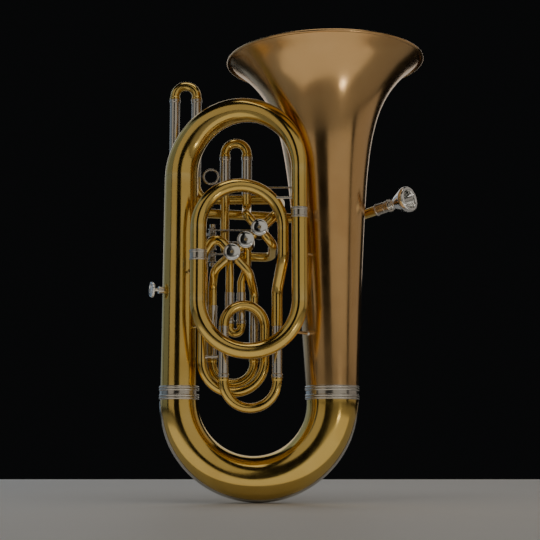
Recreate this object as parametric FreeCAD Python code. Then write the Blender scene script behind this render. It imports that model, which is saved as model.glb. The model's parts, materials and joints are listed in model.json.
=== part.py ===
"""Baritone horn with rotary valves: bell up, one oval branch wound in front, five pulled slides.

Millimetres. +X is to the bell's side, +Z is up, -Y is the side that faces the player.
The origin is under the bottom bow, on the ground that the bow would touch.
"""
import FreeCAD, Part
import math
import os

os.makedirs("parts", exist_ok=True)

Vector = FreeCAD.Vector
UP = Vector(0, 0, 1)
DOWN = Vector(0, 0, -1)
BACK = Vector(0, 1, 0)

# body of the horn
bow_half_width = 110.5
bow_left_r = 27.2
bow_right_r = 37.6
guard_thickness = 1.1
guard_width = 30
bow_z = bow_half_width + (bow_left_r + bow_right_r) / 2 + guard_thickness
joint_z = bow_z + 12
sheet = 0.6

# bell: height of each station and its outside radius
bell_lean_deg = 0.85
bell_top_z = 652
bell_rim_r = 143
rim_wire_r = 2.2
bell_profile = [
    (joint_z, bow_right_r), (242, 42.4), (338, 48.4), (435, 55.6), (483, 60.4),
    (532, 68.4), (575, 81.5), (605, 97.5), (632, 120.5), (bell_top_z - 2, bell_rim_r),
]

# the branch: left tube, top bow, front oval, inner arc
branch_top_z = 474.5
branch_top_r = 24.5
front_y = -66
oval_right_x = 62.7
oval_left_x = -80.8
oval_tube_r = 11.5
oval_low_z = 283.5
ring_right_z = 408
ring_left_z = 347
inner_arc_z = 388.6
inner_end_x = 39.5
inner_end_y = -56
inner_end_r = 8.0

# rotary valves, in a sloping row
valve_x = 5.6
valve_z = 391
valve_pitch = 26.6
valve_slope_deg = 42.3
casing_r = 12.4
casing_front_y = -44
casing_back_y = -12
rotor_r = 11.0
rotor_play = 0.05
passage_r = 4.2
port_y = -28

# slide tubes
slide_r = 6.6
slide_wall = 0.6
slide_play = 0.05
sleeve_wall = 0.8
main_tube_r = 7.25
bow_gap = 0.3

tuning_x = (-124.5, -91.5)
tuning_y = 36.5
tuning_top_z = 632
tuning_sleeve_low_z = 482

first_x = (-46.8, -14.1)
first_y = 20
first_top_z = 538
first_sleeve_low_z = 452

second_x = (-37.9, -21.1)
second_y = -15.5
second_low_z = 235
second_sleeve_high_z = 300

third_x = (-62.7, -2.5)
third_y = -7
third_low_z = 162.4
third_sleeve_high_z = 282

lower_x = (-45.3, 30.8)
lower_y = -39
lower_low_z = 126
arch_z = 249

crook_x = (-76.5, 13.4)
crook_y = -23
crook_low_z = 148.6

# mouthpipe and mouthpiece
pipe_end = Vector(185, 18, 430)
pipe_aim = Vector(0.73, -0.665, 0.15)
receiver_r = 8.4
receiver_length = 26
shank_r = 6.3
shank_tip_r = 5.5
mouthpiece_rim_r = 19.2
mouthpiece_out = 36
mouthpiece_in = 18
throat_r = 3.3
backbore_r = 4.7

# lyre socket on the left tube, thumb ring beside the first slide
lyre_z = 304.5
lyre_screw_r = 2.2
ring_z = 479.6
ring_bore_r = 9.4
ring_outer_r = 12.6

# levers
axle_x = -66
axle_y = 38
axle_r = 2.0
crank_length = 30
lever_turn_deg = 20
arm_r = crank_length * math.sin(math.radians(lever_turn_deg)) / math.sqrt(2)
arm_y = (2.8, 5.6)
link_y = (6.6, 9.4)
link_r = 1.3


def save(name, shape):
    solids = shape.Solids
    if not solids or not all(solid.isValid() for solid in solids):
        raise ValueError("no valid solid for " + name)
    if len(solids) == 1:
        shape = solids[0]
    else:
        shape = Part.makeCompound(solids)
    shape.exportStep("parts/%s.step" % name)
    print("%-22s solids %d volume %9.0f" % (name, len(solids), shape.Volume))


def section(centre, direction, radius, side):
    circle = Part.Circle(centre, direction, radius)
    circle.XAxis = side
    return Part.Wire([circle.toShape()])


def rod(start, end, radius):
    run = end - start
    return Part.makeCylinder(radius, run.Length, start, run)


def cone(start, end, start_r, end_r):
    if abs(start_r - end_r) < 0.001:
        return rod(start, end, start_r)
    run = end - start
    return Part.makeCone(start_r, end_r, run.Length, start, run)


def hollow_cone(start, end, start_r, end_r, wall=sheet):
    return cone(start, end, start_r, end_r).cut(cone(start, end, start_r - wall, end_r - wall))


def bow_solid(start, end, bulge, start_r, end_r, stations=13):
    """A half circle from start to end that swells evenly from one radius to the other."""
    centre = (start + end) * 0.5
    first = start - centre
    second = bulge * first.Length
    side = first.cross(second).normalize()
    wires = []
    for step in range(stations):
        turn = math.pi * step / (stations - 1)
        place = centre + first * math.cos(turn) + second * math.sin(turn)
        heading = second * math.cos(turn) - first * math.sin(turn)
        radius = start_r + (end_r - start_r) * step / (stations - 1)
        wires.append(section(place, heading.normalize(), radius, side))
    return Part.makeLoft(wires, True, False)


def tapered_bow(start, end, bulge, start_r, end_r, wall=sheet):
    outside = bow_solid(start, end, bulge, start_r, end_r)
    return outside.cut(bow_solid(start, end, bulge, start_r - wall, end_r - wall))


def rounded_wire(points, bend):
    """Straight runs joined by arcs that touch them; each arc is as large as bend or its runs allow."""
    edges = []
    last = points[0]
    for index in range(1, len(points) - 1):
        corner = points[index]
        before = corner - points[index - 1]
        after = points[index + 1] - corner
        room_before = before.Length * (0.94 if index == 1 else 0.47)
        room_after = after.Length * (0.94 if index == len(points) - 2 else 0.47)
        into = Vector(before).normalize()
        out = Vector(after).normalize()
        half = into.getAngle(out) / 2
        radius = min(bend, min(room_before, room_after) / math.tan(half))
        reach = radius * math.tan(half)
        arc_start = corner - into * reach
        arc_end = corner + out * reach
        inward = (out - into).normalize()
        centre = corner + inward * (radius / math.cos(half))
        middle = centre - inward * radius
        edges.append(Part.LineSegment(last, arc_start).toShape())
        edges.append(Part.Arc(arc_start, middle, arc_end).toShape())
        last = arc_end
    edges.append(Part.LineSegment(last, points[-1]).toShape())
    return Part.Wire(edges)


def swept(wire, radius):
    start = wire.OrderedVertexes[0].Point
    heading = wire.OrderedEdges[0].tangentAt(wire.OrderedEdges[0].FirstParameter)
    disc = Part.Wire([Part.makeCircle(radius, start, heading)])
    return wire.makePipeShell([disc], True, False)


def bent_tube(points, radius, bend, wall=sleeve_wall):
    wire = rounded_wire(points, bend)
    return swept(wire, radius).cut(swept(wire, radius - wall))


def turned_rod(start, end, bulge, radius):
    """A solid round bar of one size that turns half a circle."""
    centre = (start + end) * 0.5
    middle = centre + bulge * (start - centre).Length
    wire = Part.Wire([Part.Arc(start, middle, end).toShape()])
    disc = Part.Wire([Part.makeCircle(radius, start, bulge)])
    return wire.makePipeShell([disc], True, False)


def half_turn(start, end, bulge, radius, wall=sleeve_wall):
    return turned_rod(start, end, bulge, radius).cut(turned_rod(start, end, bulge, radius - wall))


def collar(centre, axis, bore_r, height, wall=1.2, bead=1.0):
    """A ferrule: a plain ring with a raised bead at each end, in one turned piece."""
    half = height / 2
    edge = min(2.0, height / 5)
    corners = [
        (bore_r, -half), (bore_r + wall + bead, -half), (bore_r + wall + bead, -half + edge),
        (bore_r + wall, -half + edge), (bore_r + wall, half - edge),
        (bore_r + wall + bead, half - edge), (bore_r + wall + bead, half), (bore_r, half),
    ]
    points = [Vector(r, 0, z) for r, z in corners]
    face = Part.Face(Part.makePolygon(points + points[:1]))
    ring = face.revolve(Vector(), UP, 360)
    ring.Placement = FreeCAD.Placement(centre, FreeCAD.Rotation(UP, axis))
    return ring


def valve_centre(number):
    slope = math.radians(valve_slope_deg)
    back_along = valve_pitch * (number - 1)
    return Vector(valve_x - back_along * math.cos(slope), 0, valve_z - back_along * math.sin(slope))


slope = math.radians(valve_slope_deg)
row_dir = Vector(math.cos(slope), 0, math.sin(slope))
cross_dir = Vector(-math.sin(slope), 0, math.cos(slope))


def port(number, direction, reach):
    """A point out from a valve's axis, on the level of its ports."""
    place = valve_centre(number) + direction * reach
    return Vector(place.x, port_y, place.z)


def casing_body(number, radius):
    centre = valve_centre(number)
    front = Vector(centre.x, casing_front_y, centre.z)
    return Part.makeCylinder(radius, casing_back_y - casing_front_y, front, BACK)


def clear_of_casings(shape):
    for number in (1, 2, 3):
        centre = valve_centre(number)
        front = Vector(centre.x, casing_front_y - 6, centre.z)
        shape = shape.cut(Part.makeCylinder(casing_r, casing_back_y - casing_front_y + 8.5, front, BACK))
    return shape


# ---- bell and bottom bow ----

def bell_outline(offset):
    points = [Vector(radius - offset, 0, z) for z, radius in bell_profile]
    curve = Part.BSplineCurve()
    curve.interpolate(points)
    return curve.toShape(), points


def make_bell():
    outer, outer_points = bell_outline(0)
    inner, inner_points = bell_outline(sheet)
    foot = Part.makeLine(inner_points[0], outer_points[0])
    lip = Part.makeLine(outer_points[-1], inner_points[-1])
    skin = Part.Face(Part.Wire([foot, outer, lip, inner])).revolve(Vector(), UP, 360)
    ground = Part.makeBox(120, 120, 20, Vector(bow_half_width - 60, -60, joint_z - 20))
    return place_on_bell(skin).cut(ground)


def place_on_bell(shape):
    """Moves a shape made about the upright axis on to the bell's own leaning axis."""
    lean = FreeCAD.Placement(Vector(), FreeCAD.Rotation(BACK, -bell_lean_deg), Vector(0, 0, joint_z))
    moved = shape.copy()
    moved.Placement = FreeCAD.Placement(Vector(bow_half_width, 0, 0), FreeCAD.Rotation()).multiply(lean)
    return moved


def make_rim():
    ring = Part.makeTorus(bell_rim_r + rim_wire_r - 0.1, rim_wire_r, Vector(0, 0, bell_top_z - 2), UP)
    shell = Part.makeCylinder(bell_rim_r + 0.05, 20, Vector(0, 0, bell_top_z - 12), UP)
    return place_on_bell(ring.cut(shell))


def make_body():
    left_foot = Vector(-bow_half_width, 0, bow_z)
    right_foot = Vector(bow_half_width, 0, bow_z)
    rise = Vector(0, 0, joint_z - bow_z)
    bow = tapered_bow(left_foot, right_foot, DOWN, bow_left_r, bow_right_r)
    bow = bow.fuse(hollow_cone(left_foot, left_foot + rise, bow_left_r, bow_left_r))
    bow = bow.fuse(hollow_cone(right_foot, right_foot + rise, bow_right_r, bow_right_r))
    save("bottom_bow", bow.removeSplitter())

    cover = bow_solid(left_foot, right_foot, DOWN, bow_left_r + guard_thickness,
                      bow_right_r + guard_thickness)
    cover = cover.cut(bow_solid(left_foot, right_foot, DOWN, bow_left_r + 0.02, bow_right_r + 0.02))
    slab = Part.makeBox(400, guard_width, 160, Vector(-200, -guard_width / 2, -20))
    inside = Part.makeCylinder(bow_half_width + 12, 60, Vector(0, -30, bow_z), BACK)
    trimmed = cover.common(slab).cut(inside)
    save("bow_guard", trimmed.common(Part.makeBox(400, 60, bow_z + 10, Vector(-200, -30, -20))))

    left_top = Vector(-bow_half_width, 0, branch_top_z)
    save("left_branch", hollow_cone(left_foot + rise, left_top, bow_left_r, branch_top_r))
    save("bell", make_bell())
    save("bell_rim", make_rim())
    bell_ring = collar(right_foot + rise, UP, bow_right_r + 0.12, 20).cut(bell_core())
    branch_ring = collar(left_foot + rise, UP, bow_left_r + 0.12, 20)
    save("body_ferrules", Part.makeCompound([bell_ring, branch_ring]))


def make_branch():
    left_top = Vector(-bow_half_width, 0, branch_top_z)
    right_top = Vector(oval_right_x, front_y, branch_top_z)
    right_low = Vector(oval_right_x, front_y, oval_low_z)
    left_low = Vector(oval_left_x, front_y, oval_low_z)
    left_high = Vector(oval_left_x, front_y, inner_arc_z)
    inner_end = Vector(inner_end_x, inner_end_y, inner_arc_z)
    save("top_bow", tapered_bow(left_top, right_top, UP, branch_top_r, oval_tube_r))
    save("oval_right_leg", hollow_cone(right_top, right_low, oval_tube_r, oval_tube_r))
    save("oval_low_bow", half_turn(right_low, left_low, DOWN, oval_tube_r, sheet))
    save("oval_left_leg", hollow_cone(left_low, left_high, oval_tube_r, oval_tube_r))
    save("inner_arc", tapered_bow(left_high, inner_end, UP, oval_tube_r, inner_end_r))
    right_ring = Vector(oval_right_x, front_y, ring_right_z)
    left_ring = Vector(oval_left_x, front_y, ring_left_z)
    rings = [collar(place, UP, oval_tube_r + 0.05, 15, 0.9, 0.5) for place in (right_ring, left_ring)]
    save("oval_ferrules", Part.makeCompound(rings))

    tail = [inner_end, Vector(inner_end_x, inner_end_y, 345),
            Vector(lower_x[1], lower_y, 300), Vector(lower_x[1], lower_y, arch_z)]
    save("inner_tail", bent_tube(tail, inner_end_r, 45))


# ---- valves ----

def make_valves():
    centres = [valve_centre(number) for number in (1, 2, 3)]
    save("valve_casings", Part.makeCompound([make_casing(number) for number in (1, 2, 3)]))
    save("valve_caps", Part.makeCompound([make_front_cap(centre) for centre in centres]))
    save("back_plates", Part.makeCompound([make_back_plate(centre) for centre in centres]))
    for number in (1, 2, 3):
        save("rotor_%d" % number, make_rotor(number))
        save("stop_arm_%d" % number, make_stop_arm(centres[number - 1]))


def make_casing(number):
    casing = casing_body(number, casing_r).cut(casing_body(number, rotor_r))
    for direction in (row_dir, row_dir * -1, cross_dir, cross_dir * -1):
        casing = casing.cut(rod(port(number, direction, rotor_r / 2),
                                port(number, direction, casing_r + 4), passage_r))
    return casing


def make_front_cap(centre):
    start = Vector(centre.x, casing_front_y - 3.4, centre.z)
    cap = Part.makeCylinder(casing_r, 3.4, start, BACK)
    dome = Part.makeCylinder(casing_r - 2.2, 1.4, start - BACK * 1.4, BACK)
    cap = cap.fuse(dome)
    inset = Vector(centre.x, casing_front_y, centre.z)
    cap = cap.fuse(Part.makeCylinder(rotor_r - rotor_play, 1.8, inset, BACK))
    cap = cap.cut(Part.makeCylinder(1.7, 1.2, start - BACK * 1.4, BACK))
    return cap.cut(Part.makeCylinder(3.05, 3.4, start + BACK * 1.9, BACK)).removeSplitter()


def make_back_plate(centre):
    start = Vector(centre.x, casing_back_y - 2, centre.z)
    plate = Part.makeCylinder(rotor_r - rotor_play, 2, start, BACK)
    plate = plate.fuse(Part.makeCylinder(casing_r, 2.4, start + BACK * 2, BACK))
    plate = plate.fuse(Part.makeCylinder(5.2, 6, start + BACK * 4.4, BACK))
    return plate.cut(Part.makeCylinder(3.05, 20, start - BACK * 2, BACK)).removeSplitter()


def make_rotor(number):
    centre = valve_centre(number)
    front = casing_front_y + 2.0
    length = casing_back_y - 2.2 - front
    body = Part.makeCylinder(rotor_r - rotor_play, length, Vector(centre.x, front, centre.z), BACK)
    front_pin = Part.makeCylinder(3.0, 3.2, Vector(centre.x, front - 3.2, centre.z), BACK)
    stem = Part.makeCylinder(3.0, arm_y[0] - front - length, Vector(centre.x, front + length, centre.z), BACK)
    body = body.fuse(front_pin).fuse(stem).removeSplitter()
    corner = rotor_r * math.sqrt(2)
    for side in (1, -1):
        middle = (row_dir + cross_dir).normalize() * (corner * side)
        hub = Vector(centre.x + middle.x, port_y, centre.z + middle.z)
        body = body.cut(Part.makeTorus(rotor_r, passage_r, hub, BACK))
    return body


def make_stop_arm(centre):
    """The short arm on the rotor's stem; at rest it points up and to the left."""
    tip = Vector(-arm_r * math.sin(math.pi / 4), 0, arm_r * math.cos(math.pi / 4))
    low, high = arm_y
    hub = Part.makeCylinder(4.2, high - low, Vector(centre.x, low, centre.z), BACK)
    screw = Part.makeCylinder(2.4, 0.6, Vector(centre.x, high, centre.z), BACK)
    eye_at = Vector(centre.x + tip.x, low, centre.z + tip.z)
    eye = Part.makeCylinder(2.3, high - low, eye_at, BACK)
    side = Vector(tip.z, 0, -tip.x).normalize() * 1.9
    corners = [eye_at + side, eye_at - side, eye_at - tip - side, eye_at - tip + side]
    web = Part.Face(Part.makePolygon(corners + corners[:1])).extrude(BACK * (high - low))
    pin = Part.makeCylinder(1.2, 0.6, eye_at + BACK * (high - low), BACK)
    return hub.fuse(web).fuse(screw).fuse(eye).fuse(pin).removeSplitter()


# ---- slides ----

def leg_points(xs, y, z):
    return Vector(xs[0], y, z), Vector(xs[1], y, z)


def make_slide(name, xs, y, sleeve_end_z, bow_z_level, tube_r, pull):
    """A slide: two sleeves that stay, and the two legs and the bow that pull out of them."""
    outer_r = tube_r + 0.8
    bore_r = outer_r - sleeve_wall
    leg_r = bore_r - slide_play
    sleeves = []
    legs = []
    for x in xs:
        mouth = Vector(x, y, bow_z_level)
        far = Vector(x, y, sleeve_end_z)
        tube = rod(mouth, far, outer_r).cut(rod(mouth, far, bore_r))
        lip = rod(mouth, mouth - pull * 4, outer_r + 0.9).cut(rod(mouth, mouth - pull * 4, bore_r))
        sleeves.append(tube.fuse(lip).removeSplitter())
        shoulder = mouth + pull * bow_gap
        tip = mouth - pull * (abs(sleeve_end_z - bow_z_level) - 4)
        legs.append(rod(shoulder, tip, leg_r).cut(rod(shoulder, tip, leg_r - slide_wall)))
    save(name + "_sleeves", Part.makeCompound(sleeves))
    save(name + "_legs", Part.makeCompound(legs))
    start = Vector(xs[0], y, bow_z_level) + pull * bow_gap
    end = Vector(xs[1], y, bow_z_level) + pull * bow_gap
    stub = pull * 5
    bow = half_turn(start + stub, end + stub, pull, tube_r + 0.3)
    for foot in (start, end):
        cuff = rod(foot, foot + stub, tube_r + 1.2)
        bow = bow.fuse(cuff.cut(rod(foot, foot + stub, tube_r - 0.5)))
    save(name + "_bow", bow.removeSplitter())


def slide_mouth(top_or_low, xs, tube_r, pull_sign):
    """Height of the sleeve's mouth, from the height of the bow's outermost point."""
    half = abs(xs[1] - xs[0]) / 2
    return top_or_low - pull_sign * (half + tube_r + 0.3 + 5 + bow_gap)


def make_slides():
    make_slide("tuning", tuning_x, tuning_y, tuning_sleeve_low_z,
               slide_mouth(tuning_top_z, tuning_x, slide_r, 1), slide_r, UP)
    make_slide("first", first_x, first_y, first_sleeve_low_z,
               slide_mouth(first_top_z, first_x, slide_r, 1), slide_r, UP)
    make_slide("second", second_x, second_y, second_sleeve_high_z,
               slide_mouth(second_low_z, second_x, slide_r - 0.8, -1), slide_r - 0.8, DOWN)
    make_slide("third", third_x, third_y, third_sleeve_high_z,
               slide_mouth(third_low_z, third_x, slide_r - 0.3, -1), slide_r - 0.3, DOWN)
    make_slide("lower", lower_x, lower_y, arch_z,
               slide_mouth(lower_low_z, lower_x, slide_r, -1), slide_r, DOWN)


# ---- tubes between the slides and the valves ----

def make_crooks():
    crook_centre = crook_low_z + main_tube_r + (crook_x[1] - crook_x[0]) / 2
    low_left, low_right = leg_points(crook_x, crook_y, crook_centre)
    turn = half_turn(low_left, low_right, DOWN, main_tube_r)
    right_leg = rod(low_right, Vector(crook_x[1], crook_y, arch_z), main_tube_r)
    right_leg = right_leg.cut(rod(low_right, Vector(crook_x[1], crook_y, arch_z), main_tube_r - sleeve_wall))
    arch_start = Vector(crook_x[1], crook_y, arch_z)
    arch_end = Vector(lower_x[0], lower_y, arch_z)
    arch = half_turn(arch_start, arch_end, UP, main_tube_r)
    save("lower_crook", turn.fuse(right_leg).fuse(arch).removeSplitter())

    outlet = [port(3, cross_dir, casing_r - 1), port(3, cross_dir, 36) + Vector(0, 0, 1),
              Vector(crook_x[0], crook_y, valve_z - 36), low_left]
    save("valve_outlet", clear_of_casings(bent_tube(outlet, main_tube_r, 22)))

    knuckles = []
    for number in (1, 2):
        knuckle = rod(port(number, row_dir * -1, 6), port(number + 1, row_dir, 6), passage_r + 1.6)
        bore = rod(port(number, row_dir * -1, 6), port(number + 1, row_dir, 6), passage_r)
        knuckles.append(clear_of_casings(knuckle.cut(bore)))
    save("valve_knuckles", Part.makeCompound(knuckles))

    first_right = [port(1, cross_dir, casing_r - 1), Vector(first_x[1], port_y, valve_z + 21.7),
                   Vector(first_x[1], first_y, valve_z + 38), Vector(first_x[1], first_y, first_sleeve_low_z)]
    first_left = [port(1, cross_dir * -1, casing_r - 1), port(1, cross_dir * -1, 29),
                  Vector(24, first_y, valve_z - 34), Vector(first_x[0], first_y, valve_z - 32),
                  Vector(first_x[0], first_y, first_sleeve_low_z)]
    save_crooks("first_crooks", [(first_right, 13), (first_left, 14)], slide_r)

    knee_x = second_x[1] + 8.6
    second_right = [Vector(second_x[1], second_y, second_sleeve_high_z),
                    Vector(second_x[1], second_y + 1, valve_z - 75),
                    Vector(knee_x, second_y + 2, valve_z - 53), Vector(knee_x, second_y, valve_z - 28.5)]
    second_left = [Vector(second_x[0], second_y, second_sleeve_high_z),
                   Vector(second_x[0], second_y, valve_z - 46)]
    save_crooks("second_crooks", [(second_right, 16), (second_left, 16)], slide_r - 0.8)

    third_left = [port(3, row_dir * -1, casing_r - 1), Vector(-59, -24, valve_z - 58.5),
                  Vector(third_x[0], third_y, valve_z - 80), Vector(third_x[0], third_y, third_sleeve_high_z)]
    third_right = [port(3, cross_dir * -1, casing_r - 1), port(3, cross_dir * -1, 36),
                   Vector(third_x[1], third_y, valve_z - 92),
                   Vector(third_x[1], third_y, third_sleeve_high_z)]
    save_crooks("third_crooks", [(third_left, 20), (third_right, 20)], slide_r - 0.3)


def save_crooks(name, runs, tube_r):
    tubes = [clear_of_casings(bent_tube(points, tube_r, bend)) for points, bend in runs]
    save(name, Part.makeCompound(tubes))


def make_mouthpipe():
    aim = Vector(pipe_aim).normalize()
    far = pipe_end - aim * 75
    pipe = [pipe_end, far, Vector(46, 67, 426), Vector(tuning_x[0], tuning_y, 430),
            Vector(tuning_x[0], tuning_y, tuning_sleeve_low_z)]
    save("mouthpipe", bent_tube(pipe, main_tube_r, 40))

    inlet = [Vector(tuning_x[1], tuning_y, tuning_sleeve_low_z), Vector(tuning_x[1], tuning_y, 448),
             Vector(36, tuning_y, 448), port(1, row_dir, 38.5), port(1, row_dir, casing_r - 1)]
    save("valve_inlet", clear_of_casings(bent_tube(inlet, main_tube_r, 22)))

    start = pipe_end - aim * 6
    end = pipe_end + aim * (receiver_length - 6)
    body = rod(start, end, receiver_r).fuse(rod(end - aim * 4, end, receiver_r + 1.0))
    body = body.fuse(rod(start, start + aim * 2.5, receiver_r + 0.8))
    body = body.cut(rod(start, pipe_end, main_tube_r))
    socket = cone(pipe_end, end, shank_tip_r + 0.05, shank_r + 0.05)
    save("receiver", body.cut(socket).removeSplitter())
    save("mouthpiece", make_mouthpiece(end, aim))


def make_mouthpiece(mouth, aim):
    """Turned in one piece: tapered shank, waist, cup with a rounded rim, and the throat through it."""
    out = mouthpiece_out
    rim = mouthpiece_rim_r
    outline = [
        (backbore_r, -mouthpiece_in), (shank_tip_r + 0.08, -mouthpiece_in), (shank_r, 0), (6.5, 2), (6.9, 5),
        (8.2, 7.5), (10.6, 12), (12.6, 16), (14.6, 20), (16.6, 24), (rim - 0.8, out - 9), (rim, out - 6.5),
        (rim, out - 2.5), (rim - 0.5, out - 1.2), (rim - 1.6, out - 0.4), (rim - 3.4, out),
        (rim - 5.0, out - 0.5), (rim - 6.0, out - 1.6), (rim - 6.6, out - 3), (11.4, 28), (9.0, 21),
        (6.2, 15), (4.2, 11), (throat_r, 8), (throat_r, 2),
    ]
    points = [Vector(r, 0, z) for r, z in outline]
    cup = Part.Face(Part.makePolygon(points + points[:1])).revolve(Vector(), UP, 360)
    cup.Placement = FreeCAD.Placement(mouth, FreeCAD.Rotation(UP, aim))
    return cup


# ---- levers and their links ----

def make_levers():
    level = [valve_centre(number).z + arm_r * math.cos(math.pi / 4) for number in (1, 2, 3)]
    low = level[2] - 14
    high = level[0] + 14
    save("lever_axle", Part.makeCylinder(axle_r, high - low, Vector(axle_x, axle_y, low), UP))
    posts = []
    for z in (low, high - 5):
        ring = Part.makeCylinder(4, 5, Vector(axle_x, axle_y, z), UP)
        posts.append(ring.cut(Part.makeCylinder(axle_r, 5, Vector(axle_x, axle_y, z), UP)))
    save("axle_posts", Part.makeCompound(posts))
    for number in (1, 2, 3):
        save("lever_%d" % number, make_lever(level[number - 1]))
        save("link_%d" % number, make_link(number, level[number - 1]))


def make_lever(z):
    half = 7.0
    drum = Part.makeCylinder(6.5, 2 * half, Vector(axle_x, axle_y, z - half), UP)
    crank = Part.makeBox(5, crank_length, 4, Vector(axle_x - 2.5, axle_y - crank_length, z - 2))
    eye = Part.makeCylinder(2.5, 4, Vector(axle_x, axle_y - crank_length, z - 2), UP)
    reach = [Vector(axle_x, axle_y + 2, z), Vector(axle_x - 14, axle_y + 12, z),
             Vector(axle_x - 40, axle_y + 13, z)]
    wire = rounded_wire(reach, 14)
    bar = swept(wire, 2.4)
    pad = Part.makeCylinder(8, 2.2, Vector(axle_x - 62, axle_y + 11.9, z), BACK)
    tail = Part.makeBox(24, 2.2, 9, Vector(axle_x - 62, axle_y + 11.9, z - 4.5))
    lever = drum.fuse(crank).fuse(eye).fuse(bar).fuse(pad).fuse(tail)
    lever = lever.cut(Part.makeCylinder(axle_r + 0.05, 2 * half, Vector(axle_x, axle_y, z - half), UP))
    slot = Part.makeBox(12, 7, 2.0, Vector(axle_x - 6, axle_y - crank_length - 3.5, z - 1.0))
    return lever.cut(slot).removeSplitter()


def make_link(number, z):
    centre = valve_centre(number)
    tip_x = centre.x - arm_r * math.sin(math.pi / 4)
    level = (link_y[0] + link_y[1]) / 2
    start = Vector(axle_x, axle_y - crank_length, z)
    tongue = Part.makeCylinder(2.2, 1.6, start - Vector(0, 0, 0.8), UP)
    bar = rod(Vector(axle_x + 1, level, z), Vector(axle_x + 9, level, z), 0.75)
    rod_body = rod(Vector(axle_x + 9, level, z), Vector(tip_x - 1, level, z), link_r)
    ball = Part.makeCylinder(2.6, link_y[1] - link_y[0], Vector(tip_x, link_y[0], z), BACK)
    cap = Part.makeCylinder(1.6, 0.8, Vector(tip_x, link_y[1], z), BACK)
    return tongue.fuse(bar).fuse(rod_body).fuse(ball).fuse(cap).removeSplitter()


# ---- braces, lyre socket and thumb ring ----

def bell_core():
    outer, points = bell_outline(0)
    top = Part.makeLine(points[-1], Vector(0, 0, points[-1].z))
    middle = Part.makeLine(Vector(0, 0, points[-1].z), Vector(0, 0, points[0].z))
    foot = Part.makeLine(Vector(0, 0, points[0].z), points[0])
    return place_on_bell(Part.Face(Part.Wire([outer, top, middle, foot])).revolve(Vector(), UP, 360))


def brace(start, end, radius, *solids):
    """A turned stay with a flared foot at each end, cut to sit on the tubes that it joins."""
    length = (end - start).Length
    foot = radius + 2.4
    flare = 4.5
    outline = [(0, 0), (foot, 0), (radius, flare), (radius, length - flare), (foot, length), (0, length)]
    points = [Vector(r, 0, z) for r, z in outline]
    stay = Part.Face(Part.makePolygon(points + points[:1])).revolve(Vector(), UP, 360)
    stay.Placement = FreeCAD.Placement(start, FreeCAD.Rotation(UP, end - start))
    for solid in solids:
        stay = stay.cut(solid)
    return stay


def make_braces():
    branch = cone(Vector(-bow_half_width, 0, joint_z), Vector(-bow_half_width, 0, branch_top_z),
                  bow_left_r, branch_top_r)
    right_leg = rod(Vector(oval_right_x, front_y, 280), Vector(oval_right_x, front_y, 480), oval_tube_r)
    left_leg = rod(Vector(oval_left_x, front_y, 280), Vector(oval_left_x, front_y, 400), oval_tube_r)
    low_bow = turned_rod(Vector(oval_right_x, front_y, oval_low_z), Vector(oval_left_x, front_y, oval_low_z),
                         DOWN, oval_tube_r)
    arc = bow_solid(Vector(oval_left_x, front_y, inner_arc_z), Vector(inner_end_x, inner_end_y, inner_arc_z),
                    UP, oval_tube_r, inner_end_r)
    bell = bell_core()
    outer_r = slide_r + 0.8
    first_sleeve = rod(Vector(first_x[1], first_y, first_sleeve_low_z),
                       Vector(first_x[1], first_y, 500), outer_r)
    lower_sleeve = rod(Vector(lower_x[0], lower_y, 170), Vector(lower_x[0], lower_y, arch_z), outer_r)
    crook_leg = rod(Vector(crook_x[0], crook_y, 200), Vector(crook_x[0], crook_y, 340), main_tube_r)

    save("stays", Part.makeCompound([
        brace(Vector(46, front_y + 6, 240), Vector(76, -24, 240), 2.2, low_bow, bell),
        brace(Vector(oval_right_x + 4, front_y + 7, 352), Vector(84, -36, 352), 2.2, right_leg, bell),
        brace(Vector(-96, -20, 330), Vector(-84, front_y + 8, 330), 2.2, branch, left_leg),
        brace(Vector(first_x[1] + 4, first_y - 4, 462), Vector(55, front_y + 6, 446), 1.4,
              first_sleeve, right_leg),
        brace(Vector(24, front_y + 4, 430.6), Vector(56, front_y + 1, 430.6), 1.8, arc, right_leg),
        brace(Vector(crook_x[0] + 4, crook_y - 2, 206), Vector(lower_x[0] - 4, lower_y + 2, 206), 1.8,
              crook_leg, lower_sleeve),
        brace(Vector(-94, -13, 250), Vector(crook_x[0] - 3, crook_y, 250), 2.0, branch, crook_leg)]))


def make_fittings():
    toward = Vector(-0.94, -0.34, 0).normalize()
    axis_point = Vector(-bow_half_width, 0, lyre_z)
    branch = rod(axis_point - UP * 20, axis_point + UP * 20, branch_r_at(lyre_z) + 0.15)
    socket = rod(axis_point + toward * 20, axis_point + toward * 33, 4.6)
    socket = socket.fuse(rod(axis_point + toward * 31, axis_point + toward * 33, 5.4))
    hole = rod(axis_point + toward * 20, axis_point + toward * 34, lyre_screw_r + 0.05)
    socket = socket.cut(branch).cut(hole)
    save("lyre_socket", socket.removeSplitter())
    screw = rod(axis_point + toward * 27.5, axis_point + toward * 41, lyre_screw_r)
    head = rod(axis_point + toward * 40.5, axis_point + toward * 44.5, 11.4)
    head = head.cut(rod(axis_point + toward * 43, axis_point + toward * 45, 8.8))
    boss = rod(axis_point + toward * 39, axis_point + toward * 43.6, 3.6)
    save("lyre_screw", screw.fuse(head).fuse(boss).removeSplitter())

    ring_centre = Vector(first_x[0] - 21, first_y, ring_z)
    ring = thumb_band()
    ring.Placement = FreeCAD.Placement(ring_centre, FreeCAD.Rotation(UP, BACK))
    foot = rod(ring_centre + Vector(11, 0, 0), Vector(first_x[0] - 5, first_y, ring_z), 1.4)
    sleeve_mid = Vector(first_x[0], first_y, ring_z)
    sleeve = rod(sleeve_mid - UP * 30, sleeve_mid + UP * 30, slide_r + 0.8)
    save("thumb_ring", ring.fuse(foot).cut(sleeve).removeSplitter())


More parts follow.
